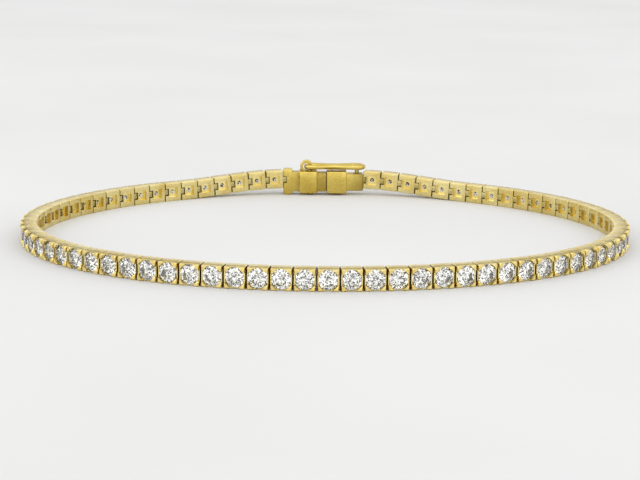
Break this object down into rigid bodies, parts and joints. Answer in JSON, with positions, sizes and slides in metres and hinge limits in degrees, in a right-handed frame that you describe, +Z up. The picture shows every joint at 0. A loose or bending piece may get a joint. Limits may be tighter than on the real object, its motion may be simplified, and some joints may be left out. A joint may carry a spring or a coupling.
{
  "type": "tennis bracelet",
  "caption": "Closed gold tennis bracelet of square four-prong links with round brilliant stones, a box clasp and a figure-eight safety catch, lying on its side edge.",
  "frame": {"origin": "middle of the bracelet's outline, on the surface that it lies on", "axes": "+Z up, +X along the clasp towards its box, +Y from the middle of the loop towards the clasp"},
  "size_m": [0.0654, 0.0528, 0.0042],
  "materials": {
    "gold": "polished yellow gold",
    "clasp_gold": "polished yellow gold",
    "catch_gold": "polished yellow gold wire",
    "stone": "clear brilliant-cut stone"
  },
  "bodies": {
    "bracelet": {"chain_left": "gold", "chain_right": "gold", "clasp_tongue": "clasp_gold", "clasp_box": "clasp_gold"},
    "catch": {"safety_catch": "catch_gold"}
  },
  "joints": [
    {"name": "catch_hinge", "type": "hinge", "parent": "bracelet", "child": "catch", "pos_m": [-0.00185, 0.02527, 0.00345], "axis": [0, -1, 0], "range_deg": [0, 110]}
  ]
}
